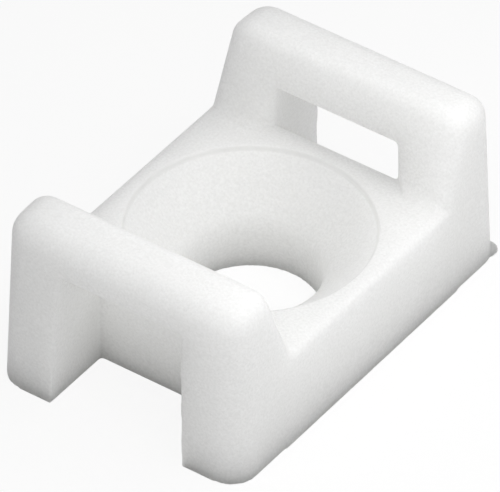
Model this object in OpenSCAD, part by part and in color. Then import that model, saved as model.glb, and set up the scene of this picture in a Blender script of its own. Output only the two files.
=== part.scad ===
// Saddle-type cable tie mount: one piece moulded in natural nylon. A screw through the dished seat fixes it to
// a panel, and a cable tie passes under the bar of each end arch and lies across the plate between them.
//
// Frame: X across the mount, Y along the tie, Z up from the mounting face, origin on the screw's axis.

/* [Overall] */
// Width across the long sides at the mounting face
body_w = 10; // [9.4:0.1:13]
// Length over the outer faces of the two end arches, at the mounting face
body_l = 15.3; // [15:0.1:20]
// Height of the arches above the mounting face
body_h = 6.9; // [6.6:0.05:9]
// Draft of the long sides, in degrees
side_draft = 1.9; // [0.5:0.1:3]
// Draft of the arches' outer faces, in degrees
end_draft = 2.1; // [1:0.1:4]

/* [Base plate] */
// Thickness of the plate
plate_t = 3.7; // [3.2:0.05:4]
// Rounding of the plate's two long upper edges
plate_edge_r = 0.3; // [0.15:0.05:0.8]
// How far the plate's long sides stand proud of the arches' sides
plate_proud = 0.03; // [0.02:0.01:0.1]

/* [End arches] */
// Thickness of an arch where its inner face meets the plate
arch_t = 3.25; // [3.15:0.05:3.6]
// Distance from an arch's outer face, at the mounting face, to the highest line of its crown
crest_in = 1.85; // [1.6:0.05:2]
// Rounding of the crown's inner edge
crest_r = 0.55; // [0.4:0.05:0.75]
// Fall of the crown from its highest line to its outer edge
crown_fall = 0.05; // [0.05:0.05:0.6]
// Rounding of the crown's outer edge
brow_r = 0.95; // [0.3:0.05:1]
// Rounding of the shoulders, seen from the end
shoulder_r = 0.85; // [0.8:0.05:1.6]
// Rounding of the legs' outer vertical edges, seen from above
corner_r = 1.05; // [0.5:0.05:1.2]
// Fillet between an arch's inner face and the plate
foot_fillet_r = 0.6; // [0.3:0.05:0.8]

/* [Heels] */
// Rounding of the heel's own corner at the mounting face
heel_r = 0.4; // [0.2:0.05:0.45]
// Height up to which the heels run out into the legs' corners
heel_h = 0.45; // [0.4:0.05:1]

/* [Tie slot] */
// Width of the slot at the bar
slot_w = 4.95; // [4:0.05:5.3]
// Clear height between the plate and the bar
slot_h = 1.5; // [1.1:0.05:1.6]
// Depth of the tunnel at the mounting face, from an arch's outer face to the end of the plate
tunnel_d = 2.85; // [2.4:0.05:3]
// Draft of the plate's ends, which lean outwards as they rise, in degrees
plate_end_draft = 2.1; // [0.5:0.1:3]
// How far the legs' edges are bevelled beside the slot, over the plate
mouth_bevel = 1.1; // [0.4:0.1:1.3]
// Draft of the slot's side walls, which open towards the mounting face, in degrees
slot_draft = 2; // [0.5:0.1:3]
// Rise of the bar's underside from its inner to its outer edge
bar_rise = 0.15; // [0:0.05:0.3]
// Rounding of the bar's two lower edges, over which the tie bends
bar_edge_r = 0.2; // [0.1:0.05:0.4]

/* [Screw seat] */
// Diameter of the screw hole
hole_d = 4.8; // [4:0.1:5.2]
// Diameter of the dished seat at the plate's upper face
seat_d = 8.5; // [8:0.05:8.9]
// Depth of the seat, down to where its cone would meet the hole
seat_depth = 1.8; // [1.4:0.05:2.2]
// Rounding where the seat runs into the hole
throat_r = 1; // [0.4:0.1:1.2]

/* [Hidden] */

nylon = "#ecebe6";
cut = 1;                             // how far a cutting shape runs past the face it opens
skin = 0.01;                         // thickness of the flat shapes at the foot of a hull
arc_steps = 8;                       // flats in a quarter turn of a rounded outline

end_y = body_l / 2;
inner_y = end_y - arch_t;
plate_foot_y = end_y - tunnel_d;
plate_end_y = plate_foot_y + plate_t * tan(plate_end_draft);
crest_y = end_y - crest_in;
brow_z = body_h - crown_fall;
bar_z = plate_t + slot_h;

// An arch's inner face leans outwards as it rises, from the plate to its tangent on the crest's rounding.
crest_reach = [crest_y - inner_y, body_h - crest_r - plate_t];
inner_lean = atan2(crest_reach[0], crest_reach[1]) - asin(crest_r / norm(crest_reach));

// Half of the width, an arch's outer face, its inner face and half of the slot's width, all at height z.
function half_w(z) = body_w / 2 - z * tan(side_draft);
function outer_face_y(z) = end_y - z * tan(end_draft);
function inner_face_y(z) = inner_y + (z - plate_t) * tan(inner_lean);
function slot_half_w(z) = slot_w / 2 + (bar_z - z) * tan(slot_draft);

// Points of an arc about centre c, from angle a0 to angle a1.
function arc(c, r, a0, a1) =
    let (n = max(2, ceil(arc_steps * abs(a1 - a0) / 90)))
    [for (i = [0:n]) let (a = a0 + (a1 - a0) * i / n) c + r * [cos(a), sin(a)]];

// Extrudes a (y, z) outline across the mount, centred on x = 0.
module across(width) {
    rotate([90, 0, 90])
        translate([0, 0, -width / 2])
            linear_extrude(width)
                children();
}

// Extrudes an (x, z) outline along the mount, from y0 to y1.
module along(y0, y1) {
    translate([0, y1, 0])
        rotate([90, 0, 0])
            linear_extrude(y1 - y0)
                children();
}

// The plate, with its long upper edges rounded. It runs from one tunnel to the other.
module base_plate() {
    foot_x = half_w(0) + plate_proud;
    edge_z = plate_t - plate_edge_r;
    edge_x = half_w(edge_z) + plate_proud - plate_edge_r;
    along(-plate_end_y, plate_end_y)
        polygon(concat(
            [[-foot_x, 0], [foot_x, 0]],
            arc([edge_x, edge_z], plate_edge_r, side_draft, 90),
            arc([-edge_x, edge_z], plate_edge_r, 90, 180 - side_draft)));
}

// Two discs with round rims, standing across Y: hulled, they give an arch its rounded shoulders and crown.
module shoulders(y, z_top, rim_r) {
    disc_z = z_top - shoulder_r;
    for (side = [-1, 1])
        translate([side * (half_w(disc_z) - shoulder_r), y, disc_z])
            rotate([90, 0, 0])
                rotate_extrude($fn = 32)
                    intersection() {
                        translate([shoulder_r - rim_r, 0])
                            circle(rim_r, $fn = 32);
                        translate([0, -rim_r])
                            square([shoulder_r, 2 * rim_r]);
                    }
}

// The outer form of the arch at the +Y end: drafted, with every outer edge rounded.
module arch_form() {
    leg_y = end_y - corner_r;
    hull() {
        for (side = [-1, 1])
            translate([side * (body_w / 2 - corner_r), leg_y, 0])
                cylinder(h = skin, r = corner_r, $fn = 32);
        translate([-body_w / 2, inner_face_y(0), 0])
            cube([body_w, leg_y - inner_face_y(0), skin]);
        shoulders(outer_face_y(brow_z) - brow_r, brow_z, brow_r);
        shoulders(crest_y, body_h, crest_r);
    }
}

// The two small heels that square off the rear legs' corners at the mounting face. Each runs up into the
// rounding of its leg's corner, and its top is sunk a little into that rounding.
module heels() {
    sink = 0.09;
    top_r = heel_r / 2;
    top_in = (1 - cos(45)) * corner_r + cos(45) * top_r + sink;
    for (side = [-1, 1])
        hull() {
            translate([side * (body_w / 2 - heel_r), end_y - heel_r, 0])
                cylinder(h = heel_h / 4, r = heel_r, $fn = 32);
            translate([side * (body_w / 2 - top_in), end_y - top_in, 0])
                cylinder(h = heel_h, r = top_r, $fn = 32);
        }
}

// The fillet at the foot of the arch's inner face, sunk a little into the face and the plate that it joins.
module foot_fillet() {
    sink = 0.02;
    turn = 90 + inner_lean;
    foot = foot_fillet_r / tan(turn / 2);
    c = [inner_y - foot, plate_t + foot_fillet_r] + sink * [1, -1];
    across(2 * half_w(plate_t) - 2 * plate_edge_r)
        polygon(concat(
            arc(c, foot_fillet_r, -90, -inner_lean),
            [[inner_y + foot, plate_t + foot], [inner_y + foot, plate_t - foot]],
            [[inner_y - foot, plate_t - foot]]));
}

// The way of the tie at the +Y end: a tunnel open to the outer and mounting faces, and the slot over the plate.
module tie_way() {
    mouth_z = bar_z + bar_edge_r;
    outer_z = mouth_z + bar_rise;
    outer_y = outer_face_y(bar_z + bar_rise);
    inner_mouth_y = inner_face_y(bar_z);
    intersection() {
        across(body_w)
            polygon(concat(
                [[plate_foot_y - cut * tan(plate_end_draft), -cut]],
                [[end_y + cut, -cut], [end_y + cut, outer_z]],
                arc([outer_y - bar_edge_r, outer_z], bar_edge_r, 0, -90),
                arc([inner_mouth_y + bar_edge_r, mouth_z], bar_edge_r, -90, -180),
                [[0, mouth_z], [0, plate_t], [plate_end_y, plate_t]]));
        along(0, end_y + cut)
            polygon([
                [-slot_half_w(-cut), -cut], [slot_half_w(-cut), -cut],
                [slot_half_w(bar_z + cut), bar_z + cut], [-slot_half_w(bar_z + cut), bar_z + cut]]);
    }
}

// The bevels on the legs' inner edges beside the slot, which lead the tie in over the plate.
module tie_mouth() {
    half = slot_half_w(plate_t) - skin;
    foot_y = inner_y - foot_fillet_r;
    translate([0, 0, plate_t])
        linear_extrude(slot_h)
            polygon([
                [-half - mouth_bevel, foot_y], [half + mouth_bevel, foot_y],
                [half, plate_end_y], [-half, plate_end_y]]);
}

// The round tool that cuts the screw hole and the dished seat above it.
module screw_seat_tool() {
    hole_r = hole_d / 2;
    seat_r = seat_d / 2;
    throat_z = plate_t - seat_depth;
    slope = atan2(seat_depth, seat_r - hole_r);
    ease = throat_r * tan((90 - slope) / 2);
    rotate_extrude($fn = 96)
        polygon(concat(
            [[0, -cut], [hole_r, -cut]],
            arc([hole_r + throat_r, throat_z - ease], throat_r, 180, 90 + slope),
            [[seat_r, plate_t], [seat_r, plate_t + foot_fillet_r], [0, plate_t + foot_fillet_r]]));
}

module saddle_mount() {
    color(nylon)
        difference() {
            union() {
                base_plate();
                for (turn = [0, 180])
                    rotate([0, 0, turn]) {
                        arch_form();
                        foot_fillet();
                    }
                heels();
            }
            for (turn = [0, 180])
                rotate([0, 0, turn]) {
                    tie_way();
                    tie_mouth();
                }
            screw_seat_tool();
        }
}

saddle_mount();
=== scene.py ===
import math

import bmesh
import bpy
from mathutils import Matrix, Vector


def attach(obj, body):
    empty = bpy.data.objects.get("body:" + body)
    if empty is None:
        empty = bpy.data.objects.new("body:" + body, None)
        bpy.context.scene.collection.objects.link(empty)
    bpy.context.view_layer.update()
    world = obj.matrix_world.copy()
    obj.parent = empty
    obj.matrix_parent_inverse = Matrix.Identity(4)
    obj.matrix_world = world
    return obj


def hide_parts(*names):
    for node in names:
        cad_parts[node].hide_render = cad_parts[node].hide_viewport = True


# A saddle-type cable tie mount, lying on its mounting face. Lengths are in metres, and a name that ends in
# _mm is in millimetres.
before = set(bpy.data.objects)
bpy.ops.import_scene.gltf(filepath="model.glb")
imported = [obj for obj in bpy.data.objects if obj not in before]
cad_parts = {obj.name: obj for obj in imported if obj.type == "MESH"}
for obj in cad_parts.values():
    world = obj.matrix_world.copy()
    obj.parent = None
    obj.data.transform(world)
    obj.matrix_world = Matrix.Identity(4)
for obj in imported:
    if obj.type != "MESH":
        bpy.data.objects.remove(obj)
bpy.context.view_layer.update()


# ---- Moulded body ---------------------------------------------------------------------------------------
# The whole mount is one shot of natural nylon 6/6: the plate with its dished screw seat, the two end arches
# and the tie tunnels under them. The cavity's steel edges are slightly broken, so no edge of the moulding is
# sharp, and the turned insert that forms the seat leaves a fine step at the seat's rim.
MM = 0.001
weld_mm = 0.0005
facet_mm = 0.055
softening_share = 0.5
softening_passes = 9
most_triangles = 180000
seat_throat_mm = 2.9
seat_rim_mm = 4.25
seat_bottom_mm = 2.0
rim_step_mm = 0.10
rim_soft_mm = 0.02

cad_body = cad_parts["saddle_mount"]
body_mesh = cad_body.data.copy()
body_mesh.name = "moulded_body"
body_mesh.transform(cad_body.matrix_world)
body_mesh.transform(Matrix.Scale(1 / MM, 4))
moulded_body = bpy.data.objects.new("moulded_body", body_mesh)
bpy.context.scene.collection.objects.link(moulded_body)

shell = bmesh.new()
shell.from_mesh(body_mesh)
bmesh.ops.remove_doubles(shell, verts=shell.verts, dist=weld_mm)
shell.to_mesh(body_mesh)
shell.free()


def apply_modifiers(piece):
    """Turns a piece's modifiers into its mesh."""
    bpy.context.view_layer.update()
    finished = piece.evaluated_get(bpy.context.evaluated_depsgraph_get())
    made = bpy.data.meshes.new_from_object(finished)
    piece.modifiers.clear()
    piece.data = made
    return made


# The mesh is in millimetres while its skin is made, because a voxel this small is below the least that the
# modifier takes in metres.
skin = moulded_body.modifiers.new("even_skin", "REMESH")
skin.mode = "VOXEL"
skin.voxel_size = facet_mm
soften = moulded_body.modifiers.new("broken_edges", "SMOOTH")
soften.factor = softening_share
soften.iterations = softening_passes
skin_mesh = apply_modifiers(moulded_body)

# The seat sinks a little from its throat to its rim, and steps up to the plate there.
for vertex in skin_mesh.vertices:
    off_axis = math.hypot(vertex.co.x, vertex.co.y)
    if vertex.co.z > seat_bottom_mm and seat_throat_mm < off_axis < seat_rim_mm + rim_soft_mm:
        sink = (off_axis - seat_throat_mm) / (seat_rim_mm - seat_throat_mm)
        rise = min(1, max(0, (off_axis - seat_rim_mm + rim_soft_mm) / (2 * rim_soft_mm)))
        vertex.co.z -= rim_step_mm * sink * (1 - rise)

# The skin's facets have four sides, and each counts as two triangles.
thin = moulded_body.modifiers.new("fewer_facets", "DECIMATE")
thin.ratio = min(1, most_triangles / (2 * len(skin_mesh.polygons)))
skin_mesh = apply_modifiers(moulded_body)
skin_mesh.name = "moulded_body"
skin_mesh.transform(Matrix.Scale(MM, 4))
skin_mesh.polygons.foreach_set("use_smooth", [True] * len(skin_mesh.polygons))
skin_mesh.materials.clear()


def linear(hex_colour):
    """An sRGB hex colour as the linear RGBA that the shaders take."""
    parts = [int(hex_colour[i:i + 2], 16) / 255 for i in (1, 3, 5)]
    return [p / 12.92 if p <= 0.04045 else ((p + 0.055) / 1.055) ** 2.4 for p in parts] + [1.0]


def add_node(tree, kind, settings=None, **inputs):
    """Adds a node with its settings and inputs. An input is a value, or the output that feeds it. Its key is
    its name with _ for each space, or i and its number."""
    made = tree.nodes.new(kind)
    for key, value in (settings or {}).items():
        setattr(made, key, value)
    for key, value in inputs.items():
        numbered = key[0] == "i" and key[1:].isdigit()
        socket = made.inputs[int(key[1:]) if numbered else key.replace("_", " ")]
        if isinstance(value, bpy.types.NodeSocket):
            tree.links.new(value, socket)
        else:
            socket.default_value = value
    return made


# Natural nylon 6/6, injection moulded against fine spark-eroded steel: milky, matte and slightly translucent,
# so that light goes in at the top faces and comes out softly lower down the sides. The steel's grain is about
# 0.03 mm across, which is too fine to show, so it is drawn three times as coarse.
milky_white = "#f7f7f6"
cloudy_white = "#f1f1ef"
cloud_mm = 2.5
eroded_grain_mm = 0.03
grain_coarsening = 3
texture_depth_mm = 0.012
texture_strength = 0.6
# The grey painted into the texture's pits as shade.
pit_shade_grey = "#dcdcda"
pit_share = 0.5
pit_floor = 0.3
pit_brim = 0.7
polished_roughness = 0.46
eroded_roughness = 0.62
# The grey painted along the step at the seat's rim as shade.
painted_rim_shade_grey = "#dededc"
rim_shade_mm = 0.09
translucency_mm = 5.0

nylon = bpy.data.materials.new("natural_nylon_66_moulded")
nylon.use_nodes = True
tree = nylon.node_tree
tree.nodes.clear()
place = add_node(tree, "ShaderNodeTexCoord").outputs["Object"]
clouds = add_node(tree, "ShaderNodeTexNoise", Vector=place, Scale=1 / (cloud_mm * MM), Detail=3.0,
                  Roughness=0.5)
tint = add_node(tree, "ShaderNodeMix", {"data_type": "RGBA"}, Factor=clouds.outputs["Fac"],
                i6=linear(milky_white), i7=linear(cloudy_white))

# The texture's pits are painted a little darker as shade, which is gone where the noise reaches pit_brim.
texture_mm = eroded_grain_mm * grain_coarsening
texture = add_node(tree, "ShaderNodeTexNoise", Vector=place, Scale=1 / (texture_mm * MM), Detail=2.0,
                   Roughness=0.6)
pits = add_node(tree, "ShaderNodeMapRange", Value=texture.outputs["Fac"], From_Min=pit_floor,
                From_Max=pit_brim, To_Min=pit_share, To_Max=0.0)
pit_shaded = add_node(tree, "ShaderNodeMix", {"data_type": "RGBA"}, Factor=pits.outputs["Result"],
                  i6=tint.outputs[2], i7=linear(pit_shade_grey))

# The fine step at the seat's rim is painted with shade too, as a thin round grey line on the upper side.
flat_place = add_node(tree, "ShaderNodeVectorMath", {"operation": "MULTIPLY"}, i0=place, i1=(1, 1, 0))
off_centre = add_node(tree, "ShaderNodeVectorMath", {"operation": "LENGTH"}, i0=flat_place.outputs[0])
past_rim = add_node(tree, "ShaderNodeMath", {"operation": "SUBTRACT"}, i0=off_centre.outputs["Value"],
                    i1=seat_rim_mm * MM)
from_rim = add_node(tree, "ShaderNodeMath", {"operation": "ABSOLUTE"}, i0=past_rim.outputs[0])
rim_shade_band = add_node(tree, "ShaderNodeMapRange", {"interpolation_type": "SMOOTHSTEP"},
                    Value=from_rim.outputs[0], From_Max=rim_shade_mm * MM, To_Min=1.0, To_Max=0.0)
height = add_node(tree, "ShaderNodeSeparateXYZ", Vector=place)
upper_side = add_node(tree, "ShaderNodeMath", {"operation": "GREATER_THAN"}, i0=height.outputs["Z"],
                      i1=seat_bottom_mm * MM)
painted_rim_shade = add_node(tree, "ShaderNodeMath", {"operation": "MULTIPLY"}, i0=rim_shade_band.outputs[0],
                    i1=upper_side.outputs[0])
shaded = add_node(tree, "ShaderNodeMix", {"data_type": "RGBA"}, Factor=painted_rim_shade.outputs[0],
                  i6=pit_shaded.outputs[2], i7=linear(painted_rim_shade_grey))

gloss = add_node(tree, "ShaderNodeMapRange", Value=texture.outputs["Fac"], To_Min=polished_roughness,
                 To_Max=eroded_roughness)
relief = add_node(tree, "ShaderNodeBump", Height=texture.outputs["Fac"], Strength=texture_strength,
                  Distance=texture_depth_mm * MM)
plastic = add_node(tree, "ShaderNodeBsdfPrincipled", Base_Color=shaded.outputs[2],
                   Roughness=gloss.outputs["Result"], Normal=relief.outputs["Normal"], IOR=1.53,
                   Subsurface_Weight=1.0, Subsurface_Radius=(1.0, 1.0, 1.0),
                   Subsurface_Scale=translucency_mm * MM)
add_node(tree, "ShaderNodeOutputMaterial", Surface=plastic.outputs["BSDF"])
skin_mesh.materials.append(nylon)

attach(moulded_body, "root")
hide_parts("saddle_mount")


# ---- Table ----------------------------------------------------------------------------------------------
# A plain white laminate table top, just under the mount's mounting face. It looks white and keeps a faint
# contact shadow.
table_size = 2.0
table_gap_mm = 0.02
laminate_white = "#fafafa"
glow_white = "#ffffff"
shadow_share = 0.14

bpy.ops.mesh.primitive_plane_add(size=table_size, location=(0, 0, -table_gap_mm * MM))
table_top = bpy.context.object
table_top.name = "table_top"
laminate = bpy.data.materials.new("white_laminate_matte")
laminate.use_nodes = True
tree = laminate.node_tree
tree.nodes.clear()


def seen_share(tree):
    """1 for what is looked at, straight or by way of gloss or clear plastic, and 0 for light on its way."""
    ray = add_node(tree, "ShaderNodeLightPath").outputs
    seen = ray["Is Camera Ray"]
    for other in ("Is Glossy Ray", "Is Transmission Ray"):
        seen = add_node(tree, "ShaderNodeMath", {"operation": "MAXIMUM"}, i0=seen, i1=ray[other]).outputs[0]
    return seen


glow = add_node(tree, "ShaderNodeEmission", Color=linear(glow_white), Strength=1.0)
matte = add_node(tree, "ShaderNodeBsdfDiffuse", Color=linear(laminate_white))
top = add_node(tree, "ShaderNodeMixShader", Fac=shadow_share, i1=glow.outputs[0], i2=matte.outputs[0])
both = add_node(tree, "ShaderNodeMixShader", Fac=seen_share(tree), i1=matte.outputs[0], i2=top.outputs[0])
add_node(tree, "ShaderNodeOutputMaterial", Surface=both.outputs[0])
table_top.data.materials.append(laminate)


# ---- Studio light ---------------------------------------------------------------------------------------
# A white room with four soft boxes, overhead and high at the front right, the right and the rear right. The
# room itself is seen as plain white. A white part in a white room passes light on many times before it fades.
white_on_white_bounces = 12
room_white = "#ffffff"
wall_strength = 0.40

bpy.context.scene.cycles.diffuse_bounces = white_on_white_bounces
bpy.context.scene.cycles.max_bounces = 2 * white_on_white_bounces

room = bpy.data.worlds.new("white_room")
bpy.context.scene.world = room
room.use_nodes = True
tree = room.node_tree
tree.nodes.clear()
backdrop = add_node(tree, "ShaderNodeBackground", Color=linear(room_white), Strength=1.0)
walls = add_node(tree, "ShaderNodeBackground", Color=linear(room_white), Strength=wall_strength)
both = add_node(tree, "ShaderNodeMixShader", Fac=seen_share(tree), i1=walls.outputs[0],
                i2=backdrop.outputs[0])
add_node(tree, "ShaderNodeOutputWorld", Surface=both.outputs[0])

# Each soft box: its name, the way from the mount to it and its power in watts. They stand close, so that
# their light falls off down the part's height.
box_distance = 0.030
box_side = 0.025
soft_boxes = [
    ("soft_box_top", (0, 0.001, 1), 0.0018),
    ("soft_box_front_right", (0.35, -0.55, 0.766), 0.0017),
    ("soft_box_right", (0.643, 0, 0.766), 0.0012),
    ("soft_box_rear_right", (0.455, 0.455, 0.766), 0.0020),
]
for name, way, watts in soft_boxes:
    lamp = bpy.data.lights.new(name, "AREA")
    lamp.shape = "SQUARE"
    lamp.size = box_side
    lamp.energy = watts
    box = bpy.data.objects.new(name, lamp)
    box.location = Vector(way).normalized() * box_distance
    box.rotation_euler = Vector(way).to_track_quat("Z", "Y").to_euler()
    box.visible_camera = False
    bpy.context.scene.collection.objects.link(box)


# ---- Camera ---------------------------------------------------------------------------------------------
# A long lens from the front right, looking down at the mount. It is aimed at a point a little above the
# middle of the mounting face, as the lens sees it.
azimuth = math.radians(35.566)
elevation = math.radians(40.093)
roll = math.radians(0.056)
distance_mm = 297.196
sensor_mm = 36
lens_mm = 638.8387
aim_up_mm = 2.22248
aim_left_mm = 0.01959

across = Vector((math.cos(azimuth), math.sin(azimuth), 0))
level_ahead = Vector((-math.sin(azimuth), math.cos(azimuth), 0))
ahead = level_ahead * math.cos(elevation) - Vector((0, 0, math.sin(elevation)))
upward = across.cross(ahead)
right = math.cos(roll) * across + math.sin(roll) * upward
up = math.cos(roll) * upward - math.sin(roll) * across
eye = (up * aim_up_mm - right * aim_left_mm - ahead * distance_mm) * MM

camera = bpy.data.objects.new("camera", bpy.data.cameras.new("camera"))
camera.data.sensor_width = sensor_mm
camera.data.lens = lens_mm
camera.data.clip_start = 0.01
camera.data.clip_end = 10
camera.matrix_world = Matrix.Translation(eye) @ Matrix((right, up, -ahead)).transposed().to_4x4()
bpy.context.scene.collection.objects.link(camera)
bpy.context.scene.camera = camera
bpy.context.scene.view_settings.view_transform = "Standard"
